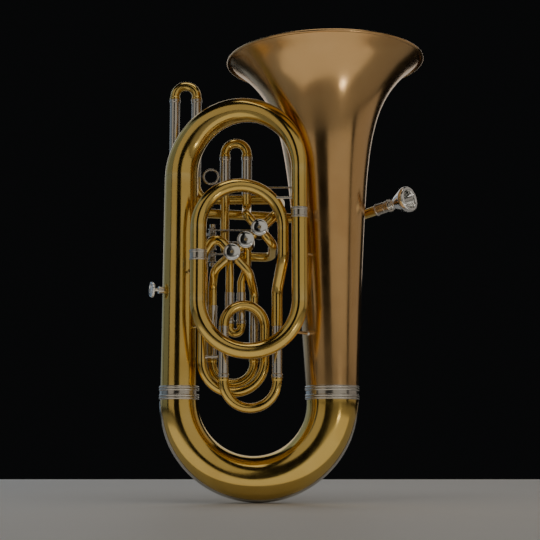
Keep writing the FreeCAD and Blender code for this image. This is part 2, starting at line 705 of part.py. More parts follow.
def thumb_band():
    half = 1.8
    edge = 0.6
    outline = [
        (ring_bore_r, edge - half), (ring_bore_r + edge, -half), (ring_outer_r - edge, -half),
        (ring_outer_r, edge - half), (ring_outer_r, half - edge), (ring_outer_r - edge, half),
        (ring_bore_r + edge, half), (ring_bore_r, half - edge),
    ]
    points = [Vector(r, 0, z) for r, z in outline]
    return Part.Face(Part.makePolygon(points + points[:1])).revolve(Vector(), UP, 360)


def branch_r_at(z):
    share = (z - joint_z) / (branch_top_z - joint_z)
    return bow_left_r + (branch_top_r - bow_left_r) * share


make_body()
make_branch()
make_valves()
make_slides()
make_crooks()
make_mouthpipe()
make_levers()
make_braces()
make_fittings()
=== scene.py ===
import bpy
import json
import math
from mathutils import Matrix, Vector


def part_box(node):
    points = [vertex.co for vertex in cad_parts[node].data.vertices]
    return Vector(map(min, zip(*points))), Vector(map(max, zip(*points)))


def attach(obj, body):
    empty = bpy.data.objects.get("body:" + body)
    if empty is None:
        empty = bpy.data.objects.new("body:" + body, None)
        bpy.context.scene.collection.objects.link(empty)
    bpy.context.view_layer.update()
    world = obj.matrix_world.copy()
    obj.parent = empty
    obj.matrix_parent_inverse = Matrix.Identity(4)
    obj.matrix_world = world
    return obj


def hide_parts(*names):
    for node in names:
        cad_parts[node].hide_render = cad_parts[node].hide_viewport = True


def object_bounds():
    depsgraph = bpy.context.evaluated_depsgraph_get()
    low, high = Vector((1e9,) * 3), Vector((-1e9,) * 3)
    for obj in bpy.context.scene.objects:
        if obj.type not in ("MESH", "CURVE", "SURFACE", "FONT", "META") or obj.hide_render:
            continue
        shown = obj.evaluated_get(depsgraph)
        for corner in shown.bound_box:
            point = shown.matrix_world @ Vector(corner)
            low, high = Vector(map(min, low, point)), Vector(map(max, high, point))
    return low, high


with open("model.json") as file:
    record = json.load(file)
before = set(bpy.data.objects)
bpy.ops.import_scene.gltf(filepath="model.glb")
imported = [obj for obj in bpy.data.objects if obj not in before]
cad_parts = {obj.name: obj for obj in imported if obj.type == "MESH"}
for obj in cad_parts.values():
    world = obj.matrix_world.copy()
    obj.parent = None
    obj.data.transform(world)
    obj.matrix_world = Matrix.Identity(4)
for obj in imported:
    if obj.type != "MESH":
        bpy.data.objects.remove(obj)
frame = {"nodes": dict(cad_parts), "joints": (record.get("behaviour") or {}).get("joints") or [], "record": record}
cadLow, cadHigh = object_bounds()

mm = 0.001
sharpAngle = math.radians(38)
up = Vector((0, 0, 1))
back = Vector((0, 1, 0))
joints = {joint["name"]: joint for joint in frame["joints"]}
mounts = {mount["name"]: mount for mount in frame["record"]["mounts"]}
print("frame loaded:", len(frame["nodes"]), "nodes")


# Finishes.

def startMaterial(name):
    material = bpy.data.materials.new(name)
    material.use_nodes = True
    tree = material.node_tree
    coordinates = tree.nodes.new("ShaderNodeTexCoord")
    return material, tree, tree.nodes["Principled BSDF"], coordinates.outputs["Object"]


def noiseFrom(tree, place, scale, detail=4.0, stretch=(1, 1, 1), rough=0.5):
    mapping = tree.nodes.new("ShaderNodeMapping")
    mapping.inputs["Scale"].default_value = stretch
    noise = tree.nodes.new("ShaderNodeTexNoise")
    noise.inputs["Scale"].default_value = scale
    noise.inputs["Detail"].default_value = detail
    noise.inputs["Roughness"].default_value = rough
    tree.links.new(place, mapping.inputs["Vector"])
    tree.links.new(mapping.outputs["Vector"], noise.inputs["Vector"])
    return noise.outputs["Fac"]


def rampFrom(tree, value, stops):
    ramp = tree.nodes.new("ShaderNodeValToRGB")
    first, second = ramp.color_ramp.elements
    first.position, first.color = stops[0][0], (*stops[0][1], 1)
    second.position, second.color = stops[-1][0], (*stops[-1][1], 1)
    for position, colour in stops[1:-1]:
        extra = ramp.color_ramp.elements.new(position)
        extra.color = (*colour, 1)
    tree.links.new(value, ramp.inputs["Fac"])
    return ramp.outputs["Color"]


def spread(tree, value, low, high, fromLow=0.3, fromHigh=0.7):
    node = tree.nodes.new("ShaderNodeMapRange")
    node.inputs["From Min"].default_value = fromLow
    node.inputs["From Max"].default_value = fromHigh
    node.inputs["To Min"].default_value = low
    node.inputs["To Max"].default_value = high
    tree.links.new(value, node.inputs["Value"])
    return node.outputs["Result"]


def blendColours(tree, share, first, second):
    node = tree.nodes.new("ShaderNodeMix")
    node.data_type = "RGBA"
    for name, given in (("Factor", share), ("A", first), ("B", second)):
        socket = node.inputs[name]
        if isinstance(given, bpy.types.NodeSocket):
            tree.links.new(given, socket)
        elif isinstance(given, tuple):
            socket.default_value = (*given, 1)
        else:
            socket.default_value = given
    return node.outputs["Result"]


def addUp(tree, first, second):
    node = tree.nodes.new("ShaderNodeMath")
    node.operation = "ADD"
    tree.links.new(first, node.inputs[0])
    tree.links.new(second, node.inputs[1])
    return node.outputs["Value"]


finishes = {
    "bell_brass": {
        "colour": (0.74, 0.46, 0.20), "deep": (0.56, 0.30, 0.11), "pale": (0.83, 0.57, 0.30),
        "rough": (0.17, 0.25), "coat": 0.1, "haze": 0.07, "polish": 0.006},
    "body_brass": {
        "colour": (0.76, 0.53, 0.15), "deep": (0.56, 0.33, 0.06), "pale": (0.85, 0.65, 0.26),
        "rough": (0.12, 0.19), "coat": 0.15, "haze": 0.07, "polish": 0.005},
    "nickel_silver": {
        "colour": (0.62, 0.58, 0.51), "deep": (0.42, 0.37, 0.29), "pale": (0.75, 0.72, 0.66),
        "rough": (0.14, 0.24), "coat": 0.0, "haze": 0.10, "polish": 0.010},
    "silver_plate": {
        "colour": (0.86, 0.86, 0.84), "deep": (0.58, 0.55, 0.50), "pale": (0.94, 0.94, 0.93),
        "rough": (0.08, 0.18), "coat": 0.0, "haze": 0.08, "polish": 0.010},
    "steel": {
        "colour": (0.53, 0.53, 0.54), "deep": (0.30, 0.28, 0.26), "pale": (0.70, 0.70, 0.71),
        "rough": (0.22, 0.38), "coat": 0.0, "haze": 0.10, "polish": 0.03},
    "rotor_bronze": {
        "colour": (0.68, 0.50, 0.25), "deep": (0.45, 0.29, 0.12), "pale": (0.78, 0.62, 0.36),
        "rough": (0.25, 0.42), "coat": 0.0, "haze": 0.12, "polish": 0.03},
}
wearAndHighlight = {"cloudScale": 11, "smearScale": 46, "grainScale": 900, "speckScale": 330, "toneShare": 0.45,
        "speckShare": 0.45, "highlightShare": 0.6, "lacquerRough": 0.14, "bumpDepth": 0.0004}


def polishedMetal(name, look):
    material, tree, shader, place = startMaterial(name)
    cloud = noiseFrom(tree, place, wearAndHighlight["cloudScale"], 3)                  # slow change of tone
    smear = noiseFrom(tree, place, wearAndHighlight["smearScale"], 6, (1, 1, 0.45), 0.62)  # wiping marks
    grain = noiseFrom(tree, place, wearAndHighlight["grainScale"], 2, (1, 1, 0.12))    # the lines of the buff
    specks = noiseFrom(tree, place, wearAndHighlight["speckScale"], 8, rough=0.7)      # pin-head tarnish
    tone = rampFrom(tree, cloud, [(0.30, look["deep"]), (0.46, look["colour"]),
                                  (0.58, look["colour"]), (0.86, look["pale"])])
    tone = blendColours(tree, wearAndHighlight["toneShare"], look["colour"], tone)
    speckShare = spread(tree, specks, 0.0, wearAndHighlight["speckShare"], 0.66, 0.80)
    tone = blendColours(tree, speckShare, tone, look["deep"])
    # Painted highlight: the pale colour is laid along raised edges, where a rounded edge would catch the lamps.
    edges = tree.nodes.new("ShaderNodeNewGeometry").outputs["Pointiness"]
    edgeHighlightMask = spread(tree, edges, 0.0, wearAndHighlight["highlightShare"], 0.52, 0.60)         # painted highlight: raised edges lightened towards the pale colour
    tone = blendColours(tree, edgeHighlightMask, tone, look["pale"])
    tree.links.new(tone, shader.inputs["Base Color"])
    low, high = look["rough"]
    base = spread(tree, smear, low, high)
    haze = spread(tree, specks, 0.0, look["haze"], 0.55, 0.85)
    tree.links.new(addUp(tree, base, haze), shader.inputs["Roughness"])
    bump = tree.nodes.new("ShaderNodeBump")
    bump.inputs["Strength"].default_value = look["polish"]
    bump.inputs["Distance"].default_value = wearAndHighlight["bumpDepth"]
    tree.links.new(addUp(tree, grain, smear), bump.inputs["Height"])
    tree.links.new(bump.outputs["Normal"], shader.inputs["Normal"])
    shader.inputs["Metallic"].default_value = 1.0
    shader.inputs["Coat Weight"].default_value = look["coat"]
    shader.inputs["Coat Roughness"].default_value = wearAndHighlight["lacquerRough"]
    return material


materials = {slot: polishedMetal(slot.replace("_", " "), look)
             for slot, look in finishes.items()}
for part in frame["record"]["subparts"]:
    node = frame["nodes"][part["node"]]
    node.data.materials.clear()
    node.data.materials.append(materials[part["material_slot"]])
slotOf = {part["node"]: part["material_slot"] for part in frame["record"]["subparts"]}
bodyOf = {node: bodyName for bodyName, nodes in frame["record"]["behaviour"]["bodies"].items()
          for node in nodes}
print("finishes made:", len(materials))


# Shaping tools.

def emptyShape():
    return {"verts": [], "faces": []}


def around(sides):
    return [2 * math.pi * step / sides for step in range(sides)]


def addGrid(shape, rings, closeEnds=False):
    first = len(shape["verts"])
    sides = len(rings[0])
    for ring in rings:
        shape["verts"].extend(tuple(corner) for corner in ring)
    spans = len(rings) if closeEnds else len(rings) - 1
    for row in range(spans):
        nextRow = (row + 1) % len(rings)
        for side in range(sides):
            nextSide = (side + 1) % sides
            here = first + row * sides
            there = first + nextRow * sides
            shape["faces"].append((here + side, here + nextSide, there + nextSide, there + side))


def eased(outline, amount):                                               # rounds every corner
    points = []
    count = len(outline)
    for index in range(count):
        before = Vector(outline[index - 1])
        corner = Vector(outline[index])
        after = Vector(outline[(index + 1) % count])
        intoLength = (corner - before).length
        outLength = (after - corner).length
        cut = min(amount, intoLength * 0.45, outLength * 0.45)
        if cut < 0.01 or corner.x < 0.01:
            points.append(tuple(corner))
            continue
        start = corner + (before - corner).normalized() * cut
        end = corner + (after - corner).normalized() * cut
        for share in (0.0, 0.25, 0.5, 0.75, 1.0):
            place = start * (1 - share) ** 2 + corner * 2 * share * (1 - share) + end * share ** 2
            points.append(tuple(place))
    return points


def turned(shape, outline, centre, axis, sides, ripple=None):             # outline in millimetres
    turn = up.rotation_difference(axis.normalized()).to_matrix()
    rings = []
    for radius, height in outline:
        ring = []
        for side, angle in enumerate(around(sides)):
            reach = radius * mm
            if ripple:
                reach *= 1 - ripple(radius, height, side)
            spoke = Vector((reach * math.cos(angle), reach * math.sin(angle), height * mm))
            ring.append(centre + turn @ spoke)
        rings.append(ring)
    addGrid(shape, rings, closeEnds=True)


def framesAlong(path):
    heading = (path[1] - path[0]).normalized()
    side = heading.cross(up)
    if side.length < 0.01:
        side = heading.cross(back)
    side.normalize()
    frames = []
    for index, place in enumerate(path):
        ahead = path[min(index + 1, len(path) - 1)]
        behind = path[max(index - 1, 0)]
        newHeading = (ahead - behind).normalized()
        side = heading.rotation_difference(newHeading) @ side
        heading = newHeading
        frames.append((place, side.normalized(), heading.cross(side).normalized()))
    return frames


def swept(shape, path, radii, wall, sides):                               # a hollow tube
    outer = []
    inner = []
    for (place, side, other), radius in zip(framesAlong(path), radii):
        spokes = [side * math.cos(angle) + other * math.sin(angle) for angle in around(sides)]
        outer.append([place + spoke * radius for spoke in spokes])
        inner.append([place + spoke * (radius - wall) for spoke in spokes])
    addGrid(shape, outer + inner[::-1], closeEnds=True)


def addCapped(shape, rings):
    sides = len(rings[0])
    first = len(shape["verts"])
    addGrid(shape, rings)
    shape["faces"].append(tuple(first + step for step in reversed(range(sides))))
    last = first + (len(rings) - 1) * sides
    shape["faces"].append(tuple(last + step for step in range(sides)))


def solidBar(shape, path, widths, heights, sides=20):
    rings = []
    for (place, side, other), width, height in zip(framesAlong(path), widths, heights):
        rings.append([place + side * (width * math.cos(angle)) + other * (height * math.sin(angle))
                      for angle in around(sides)])
    addCapped(shape, rings)


def straight(start, end, steps=8):
    return [start.lerp(end, step / steps) for step in range(steps + 1)]


def halfTurn(start, end, bulge, steps):
    centre = (start + end) / 2
    first = start - centre
    second = bulge.normalized() * first.length
    angles = [math.pi * step / steps for step in range(steps + 1)]
    return [centre + first * math.cos(angle) + second * math.sin(angle) for angle in angles]


def even(start, end, count):
    return [start + (end - start) * step / (count - 1) for step in range(count)]


def roundedPath(points, bend, steps=14):
    path = [points[0]]
    for index in range(1, len(points) - 1):
        corner = points[index]
        before = corner - points[index - 1]
        after = points[index + 1] - corner
        roomBefore = before.length * (0.94 if index == 1 else 0.47)
        roomAfter = after.length * (0.94 if index == len(points) - 2 else 0.47)
        into = before.normalized()
        out = after.normalized()
        half = into.angle(out) / 2
        radius = min(bend, min(roomBefore, roomAfter) / math.tan(half))
        inward = (out - into).normalized()
        centre = corner + inward * (radius / math.cos(half))
        start = corner - into * (radius * math.tan(half))
        spoke = start - centre
        axis = into.cross(out).normalized()
        path.extend(straight(path[-1], start, 6)[1:])
        for step in range(1, steps + 1):
            path.append(centre + Matrix.Rotation(2 * half * step / steps, 3, axis) @ spoke)
    path.extend(straight(path[-1], points[-1], 6)[1:])
    return path


def finishPiece(name, shape, *nodes):
    mesh = bpy.data.meshes.new(name)
    mesh.from_pydata(shape["verts"], [], shape["faces"])
    mesh.shade_smooth()
    mesh.set_sharp_from_angle(angle=sharpAngle)
    mesh.update()
    piece = bpy.data.objects.new(name, mesh)
    bpy.context.scene.collection.objects.link(piece)
    slot = slotOf[nodes[0]]
    mesh.materials.append(materials[slot])
    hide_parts(*nodes)
    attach(piece, bodyOf[nodes[0]])


def boxOf(node):
    low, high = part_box(node)
    return {"low": low, "high": high, "mid": (low + high) / 2, "half": (high - low) / 2}


# Bottom bow, body tube and bell.

body = {"sheet": 0.6, "bowFoot": 12.0, "topRadius": 24.5, "sides": 96, "bowSteps": 96}
bell = {"lean": 0.85, "rimWire": 2.2, "sides": 160, "stepsBetween": 14, "seat": 0.6,
        "stations": [(242, 42.4), (338, 48.4), (435, 55.6), (483, 60.4), (532, 68.4), (575, 81.5),
                     (605, 97.5), (632, 120.5), (650, 143.0)]}              # height, radius
guard = {"thickness": 1.0, "steps": 150, "across": 14, "taper": 0.06, "tipShare": 0.35,
         "crownFall": 0.55, "clearance": 0.02}
ferrule = {"bodyGap": 0.14, "bodyReach": 2.1, "bodyBeads": (-0.78, -0.42, 0.42, 0.78),
           "ovalGap": 0.06, "ovalReach": 1.35, "ovalBeads": (-0.80, 0.62, 0.84), "ovalHeight": 15.0,
           "bandShare": 0.45, "beadWidth": 0.085, "ovalSides": 72}

branchBox = boxOf("left_branch")
leftX = branchBox["mid"].x
leftRadius = branchBox["half"].x
rightX = -leftX
bowHigh = boxOf("bottom_bow")["high"]
rightRadius = bowHigh.x - rightX
jointZ = bowHigh.z
bowZ = jointZ - body["bowFoot"] * mm


def makeBow():
    leftFoot = Vector((leftX, 0, bowZ))
    rightFoot = Vector((rightX, 0, bowZ))
    rise = Vector((0, 0, jointZ - bowZ))
    turnPath = halfTurn(leftFoot, rightFoot, -up, body["bowSteps"])
    path = [leftFoot + rise, leftFoot + rise / 2] + turnPath
    path += [rightFoot + rise / 2, rightFoot + rise]
    radii = [leftRadius] * 2 + even(leftRadius, rightRadius, len(turnPath)) + [rightRadius] * 2
    shape = emptyShape()
    swept(shape, path, radii, body["sheet"] * mm, body["sides"])
    finishPiece("bottomBow", shape, "bottom_bow")


def makeBowGuard():
    halfWidth = boxOf("bow_guard")["half"].y
    centre = Vector((0, 0, bowZ))
    turnPath = halfTurn(Vector((leftX, 0, bowZ)), Vector((rightX, 0, bowZ)), -up, guard["steps"])
    thickness = guard["thickness"] * mm
    last = len(turnPath) - 1
    rings = []
    for index, place in enumerate(turnPath):
        share = index / last
        radius = leftRadius + (rightRadius - leftRadius) * share
        outward = (place - centre).normalized()
        narrowing = min(1.0, math.sqrt(max(0.0, min(share, 1 - share)) / guard["taper"]))
        width = halfWidth * (guard["tipShare"] + (1 - guard["tipShare"]) * narrowing)
        reach = math.asin(min(0.99, width / (radius + thickness)))
        outside = []
        inside = []
        for step in range(guard["across"] + 1):
            across = 2 * step / guard["across"] - 1                        # -1 at one edge, 1 at the other
            angle = reach * across
            crown = 1 - across ** 8 * guard["crownFall"]
            spoke = outward * math.cos(angle) + back * math.sin(angle)
            outside.append(place + spoke * (radius + thickness * crown))
            inside.append(place + spoke * (radius + guard["clearance"] * mm))
        rings.append(outside + inside[::-1])
    shape = emptyShape()
    addCapped(shape, rings)
    finishPiece("bowGuard", shape, "bow_guard")


def makeBodyTube():
    shape = emptyShape()
    path = straight(Vector((leftX, 0, jointZ)), Vector((leftX, 0, branchBox["high"].z)), 24)
    radii = even(leftRadius, body["topRadius"] * mm, len(path))
    swept(shape, path, radii, body["sheet"] * mm, body["sides"])
    finishPiece("bodyTube", shape, "left_branch")


def smoothStations(stations, steps):                                      # an even curve through them
    ghosts = [tuple(2 * Vector(stations[0]) - Vector(stations[1]))] + stations
    ghosts.append(tuple(2 * Vector(stations[-1]) - Vector(stations[-2])))
    points = []
    for index in range(1, len(ghosts) - 2):
        p0, p1, p2, p3 = (Vector(ghosts[index + offset]) for offset in (-1, 0, 1, 2))
        t1 = (p1 - p0).length ** 0.5
        t2 = t1 + (p2 - p1).length ** 0.5
        t3 = t2 + (p3 - p2).length ** 0.5
        for step in range(steps):
            t = t1 + (t2 - t1) * step / steps
            a1 = p0 * ((t1 - t) / t1) + p1 * (t / t1)
            a2 = p1 * ((t2 - t) / (t2 - t1)) + p2 * ((t - t1) / (t2 - t1))
            a3 = p2 * ((t3 - t) / (t3 - t2)) + p3 * ((t - t2) / (t3 - t2))
            b1 = a1 * ((t2 - t) / t2) + a2 * (t / t2)
            b2 = a2 * ((t3 - t) / (t3 - t1)) + a3 * ((t - t1) / (t3 - t1))
            points.append(b1 * ((t2 - t) / (t2 - t1)) + b2 * ((t - t1) / (t2 - t1)))
    points.append(Vector(stations[-1]))
    return [(point.x, point.y) for point in points]


bellFoot = Vector((rightX, 0, jointZ))
bellAxis = Matrix.Rotation(-math.radians(bell["lean"]), 3, "Y") @ up


def makeBell():
    jointHeight = jointZ / mm
    stations = [(jointHeight, rightRadius / mm)] + bell["stations"]
    curve = smoothStations(stations, bell["stepsBetween"])
    outline = [(radius, height - jointHeight) for height, radius in curve]
    inside = [(radius - body["sheet"], height) for radius, height in outline]
    outline[0] = (outline[0][0], bell["seat"])
    inside[0] = (inside[0][0], bell["seat"])
    shape = emptyShape()
    turned(shape, outline + inside[::-1], bellFoot, bellAxis, bell["sides"])
    finishPiece("bell", shape, "bell")


def makeRim():
    wire = bell["rimWire"]
    topHeight, topRadius = bell["stations"][-1]
    middle = topRadius + wire - 0.1
    height = topHeight - jointZ / mm
    outline = [(middle + wire * math.cos(angle), height + wire * math.sin(angle))
               for angle in around(20)]
    shape = emptyShape()
    turned(shape, outline, bellFoot, bellAxis, bell["sides"])
    finishPiece("bellRim", shape, "bell_rim")


def ferruleOutline(bore, reach, height, beads):
    half = height / 2
    band = bore + (reach - bore) * ferrule["bandShare"]
    width = height * ferrule["beadWidth"]
    outline = [(bore, -half), (band, -half)]
    for bead in beads:
        for step in range(9):
            angle = math.pi * step / 8
            outline.append((band + (reach - band) * math.sin(angle),
                            half * bead - width * math.cos(angle)))
    outline += [(band, half), (bore, half)]
    return outline


def makeBodyFerrules():
    box = boxOf("body_ferrules")
    shape = emptyShape()
    for x, radius in ((leftX, leftRadius), (rightX, rightRadius)):
        bore = radius / mm + ferrule["bodyGap"]
        outline = ferruleOutline(bore, bore + ferrule["bodyReach"], box["half"].z * 2 / mm,
                                 ferrule["bodyBeads"])
        turned(shape, outline, Vector((x, 0, box["mid"].z)), up, body["sides"])
    finishPiece("bodyFerrules", shape, "body_ferrules")


def makeOvalFerrules():
    box = boxOf("oval_ferrules")
    height = ferrule["ovalHeight"]
    shape = emptyShape()
    for leg, z in (("oval_right_leg", box["high"].z - height * mm / 2),
                   ("oval_left_leg", box["low"].z + height * mm / 2)):
        legBox = boxOf(leg)
        bore = legBox["half"].x / mm + ferrule["ovalGap"]
        outline = ferruleOutline(bore, bore + ferrule["ovalReach"], height, ferrule["ovalBeads"])
        turned(shape, outline, Vector((legBox["mid"].x, legBox["mid"].y, z)), up, ferrule["ovalSides"])
    finishPiece("ovalFerrules", shape, "oval_ferrules")


makeBow()
makeBowGuard()
makeBodyTube()
makeBell()
makeRim()
makeBodyFerrules()
makeOvalFerrules()
print("body, bow and bell made")


# The branch wound in front.

branch = {"innerEnd": (39.5, -56.0), "innerEndRadius": 8.0, "tailWall": 0.8, "tailBend": 45, "sides": 64,
          "tail": [(39.5, -56, 388.6), (39.5, -56, 345), (30.8, -39, 300), (30.8, -39, 249)]}


def tubePiece(name, node, path, radii, wall, sides):
    shape = emptyShape()
    swept(shape, path, radii, wall, sides)
    finishPiece(name, shape, node)


def makeBranch():
    right = boxOf("oval_right_leg")
    left = boxOf("oval_left_leg")
    radius = right["half"].x
    endRadius = branch["innerEndRadius"] * mm
    wall = body["sheet"] * mm
    sides = branch["sides"]
    rightTop = Vector((right["mid"].x, right["mid"].y, right["high"].z))
    rightFoot = Vector((right["mid"].x, right["mid"].y, right["low"].z))
    leftTop = Vector((left["mid"].x, left["mid"].y, left["high"].z))
    leftFoot = Vector((left["mid"].x, left["mid"].y, left["low"].z))

    path = halfTurn(Vector((leftX, 0, right["high"].z)), rightTop, up, 80)
    radii = even(body["topRadius"] * mm, radius, len(path))
    tubePiece("topBow", "top_bow", path, radii, wall, body["sides"])

    path = straight(rightFoot, rightTop, 12)
    tubePiece("ovalRightLeg", "oval_right_leg", path, [radius] * len(path), wall, sides)
    path = straight(leftFoot, leftTop, 12)
    tubePiece("ovalLeftLeg", "oval_left_leg", path, [radius] * len(path), wall, sides)
    path = halfTurn(rightFoot, leftFoot, -up, 72)
    tubePiece("ovalLowBow", "oval_low_bow", path, [radius] * len(path), wall, sides)

    endX, endY = branch["innerEnd"]
    path = halfTurn(leftTop, Vector((endX * mm, endY * mm, leftTop.z)), up, 72)
    tubePiece("innerArc", "inner_arc", path, even(radius, endRadius, len(path)), wall, sides)
    path = roundedPath([Vector(corner) * mm for corner in branch["tail"]], branch["tailBend"] * mm)
    tubePiece("innerTail", "inner_tail", path, [endRadius] * len(path), branch["tailWall"] * mm, sides)


makeBranch()
print("front branch made")


# Slides.

slideParts = {"lipReach": 0.9, "lipLength": 4.0, "cuffReach": 0.9, "cuffLength": 5.0, "bowWall": 0.8,
              "legWall": 0.6, "fit": 0.05, "sides": 44, "bowSteps": 56}


def sleeveOutline(bore, outer, lip, length):
    lipFoot = length - slideParts["lipLength"]
    return eased([(bore, 0), (outer, 0), (outer, lipFoot - 1.2), (lip, lipFoot), (lip, length),
                  (bore, length)], 0.5)


def cuffOutline(tube, cuff):
    length = slideParts["cuffLength"]
    bore = tube - 0.7
    neck = tube + 0.35
    return eased([(bore, 0), (cuff, 0), (cuff, length * 0.62), (neck, length * 0.8), (neck, length),
                  (bore, length)], 0.6)


def makeSlide(name, pull):                                                # pull is 1 up, -1 down
    sleeves = boxOf(name + "_sleeves")
    legs = boxOf(name + "_legs")
    bow = boxOf(name + "_bow")
    near, far = ("low", "high") if pull > 0 else ("high", "low")          # along the pull
    lip = sleeves["half"].y
    leg = legs["half"].y
    cuff = bow["half"].y
    tube = cuff - slideParts["cuffReach"] * mm
    y = sleeves["mid"].y
    centres = [sleeves["low"].x + lip, sleeves["high"].x - lip]
    sides = slideParts["sides"]

    length = (sleeves["high"].z - sleeves["low"].z) / mm
    bore = leg / mm + slideParts["fit"]
    outline = sleeveOutline(bore, lip / mm - slideParts["lipReach"], lip / mm, length)
    shape = emptyShape()
    for x in centres:
        turned(shape, outline, Vector((x, y, sleeves[near].z)), up * pull, sides)
    finishPiece(name + "Sleeves", shape, name + "_sleeves")

    shape = emptyShape()
    for x in centres:
        path = straight(Vector((x, y, legs[near].z)), Vector((x, y, legs[far].z)), 8)
        swept(shape, path, [leg] * len(path), slideParts["legWall"] * mm, sides)
    finishPiece(name + "Legs", shape, name + "_legs")

    foot = bow[near].z
    stub = slideParts["cuffLength"] * mm * pull
    first, second = (Vector((x, y, foot + stub)) for x in centres)
    half = Vector((0, 0, stub / 2))
    path = [first - half] + halfTurn(first, second, up * pull, slideParts["bowSteps"]) + [second - half]
    shape = emptyShape()
    swept(shape, path, [tube] * len(path), slideParts["bowWall"] * mm, sides)
    outline = cuffOutline(tube / mm, cuff / mm)
    for x in centres:
        turned(shape, outline, Vector((x, y, foot)), up * pull, sides)
    finishPiece(name + "Bow", shape, name + "_bow")


for slideName, pull in (("tuning", 1), ("first", 1), ("second", -1), ("third", -1), ("lower", -1)):
    makeSlide(slideName, pull)
print("slides made")


# Valves.

valve = {"capRadius": 12.4, "capFront": -47.4, "knurls": 72, "knurlDepth": 0.018, "knurlBand": (0.7, 2.8),
         "crown": [(0.0001, 2.4), (1.9, 2.4), (2.0, -0.7), (2.4, -1.3), (4.0, -1.3), (7.2, -1.05),
                   (9.3, -0.55), (10.1, -0.05), (10.4, 0.05), (11.2, 0.1), (11.9, 0.35)],
         "backPlate": [(3.06, -12), (10.9, -12), (10.9, -10.1), (12.35, -10.0), (12.35, -7.7), (11.0, -7.5),
                       (9.4, -7.55), (7.0, -6.9), (5.5, -5.9), (5.15, -4.9), (5.15, -2.0), (4.7, -1.65),
                       (3.06, -1.65)]}
valveCentres = [Vector(joints["rotor_%d_turn" % number]["pos_m"]) for number in (1, 2, 3)]


def capKnurl(reach, height, side):
    low, high = valve["knurlBand"]
    onRim = reach > valve["capRadius"] - 0.3 and low < height < high
    return valve["knurlDepth"] if side % 2 and onRim else 0.0


def makeCaps():
    radius = valve["capRadius"]
    outline = valve["crown"] + [(radius, 0.9), (radius, 1.2), (radius, 2.6), (radius - 0.05, 2.9),
                                (radius - 0.35, 3.1), (radius - 0.35, 3.4), (0.0001, 3.4)]
    shape = emptyShape()
    for centre in valveCentres:
        front = Vector((centre.x, valve["capFront"] * mm, centre.z))
        turned(shape, outline, front, back, valve["knurls"] * 2, capKnurl)
    finishPiece("valveCaps", shape, "valve_caps")


def makeBackPlates():
    outline = eased(valve["backPlate"], 0.35)
    shape = emptyShape()
    for centre in valveCentres:
        turned(shape, outline, Vector((centre.x, 0, centre.z)), back, 72)
    finishPiece("backPlates", shape, "back_plates")


makeCaps()
makeBackPlates()
print("valves made")


# Mouthpiece and receiver.

mouth = {"rim": 19.2, "out": 36.0, "throat": 3.3, "backbore": 4.7, "in": 18.0, "tip": 5.58, "shank": 6.3,
         "outside": [(6.5, 2), (6.7, 3.6), (7.6, 4.6), (7.7, 5.6), (7.0, 6.6), (7.4, 8.2), (9.0, 10.2),
                     (10.6, 12), (12.6, 16), (14.6, 20), (16.6, 24)],
         "rimShape": [(-0.8, -9), (0, -6.5), (0, -2.5), (-0.5, -1.2), (-1.6, -0.4), (-3.4, 0), (-5.0, -0.5),
                      (-6.0, -1.6), (-6.6, -3)],                           # from the rim's outer edge
         "cup": [(11.4, 28), (9.0, 21), (6.2, 15), (4.2, 11)], "throatSpan": (8, 2)}
receiver = {"radius": 8.4, "length": 26.0, "inside": 6.0, "pipe": 7.25, "fit": 0.05}
mouthAxis = Vector(mounts["mouthpiece_rim"]["axis"])
mouthEnd = Vector(mounts["mouthpiece_rim"]["pos_m"]) - mouthAxis * mouth["out"] * mm


def makeMouthpiece():
    shank = [(mouth["backbore"], -mouth["in"]), (mouth["tip"], -mouth["in"]), (mouth["shank"], 0)]
    rim = [(mouth["rim"] + across, mouth["out"] + along) for across, along in mouth["rimShape"]]
    throat = [(mouth["throat"], height) for height in mouth["throatSpan"]]
    outline = shank + mouth["outside"] + rim + mouth["cup"] + throat
    shape = emptyShape()
    turned(shape, eased(outline, 0.9), mouthEnd, mouthAxis, 96)
    finishPiece("mouthpiece", shape, "mouthpiece")


def makeReceiver():
    radius = receiver["radius"]
    length = receiver["length"]
    tail = receiver["inside"]
    bore = receiver["pipe"] + receiver["fit"]
    outline = [(bore, 0), (radius + 0.6, 0), (radius + 0.8, 1.2), (radius + 0.6, 2.5), (radius, 2.9),
               (radius, length - 10), (radius - 0.3, length - 9.5), (radius - 0.3, length - 8.7),
               (radius, length - 8.2), (radius, length - 4.4), (radius + 1.0, length - 3.8),
               (radius + 1.0, length - 0.6), (radius + 0.6, length),
               (mouth["shank"] + 0.07, length), (mouth["tip"] + receiver["fit"], tail), (bore, tail)]
    shape = emptyShape()
    turned(shape, eased(outline, 0.5), mouthEnd - mouthAxis * length * mm, mouthAxis, 72)
    finishPiece("receiver", shape, "receiver")


makeMouthpiece()
makeReceiver()
print("mouthpiece made")


# Levers, links and small fittings.

lever = {"drum": 6.5, "half": 7.0, "hub": 3.9, "bore": 2.06, "spring": 5.15, "springWire": 0.5, "coils": 7,
         "crank": 30.0, "forkHalf": 6.0, "bar": 2.3, "padX": -62.0, "padY": 13.0, "ears": (-1.95, 1.05),
         "bend": [(-3, 4, 0), (-14, 12, 0), (-40, 13, 0), (-59, 13, 0)], "bendRadius": 14,
         "pad": [(0.0001, 0.55), (3.0, 0.45), (5.6, 0.15), (7.2, 0.0), (7.9, 0.5), (7.9, 1.5), (7.2, 2.1),
                 (4.0, 2.0), (0.0001, 1.95)]}
link = {"eye": 2.6, "tongue": [(0.0001, -0.75), (2.1, -0.75), (2.1, 0.75), (0.0001, 0.75)],
        "nearRod": [(0.0001, 1.0), (0.72, 1.0), (0.72, 8.9), (1.28, 9.3), (1.28, 15), (0.95, 15.6),
                    (0.95, 18), (1.28, 18.6)],
        "farRod": [(1.28, -6.5), (0.95, -6.0), (0.95, -4.6), (1.28, -4.2), (1.28, -1.5), (0.0001, -1.5)],
        "eyeShape": [(0.0001, 0), (2.55, 0), (2.55, 2.8), (1.55, 2.8), (1.55, 3.55), (0.0001, 3.55)]}
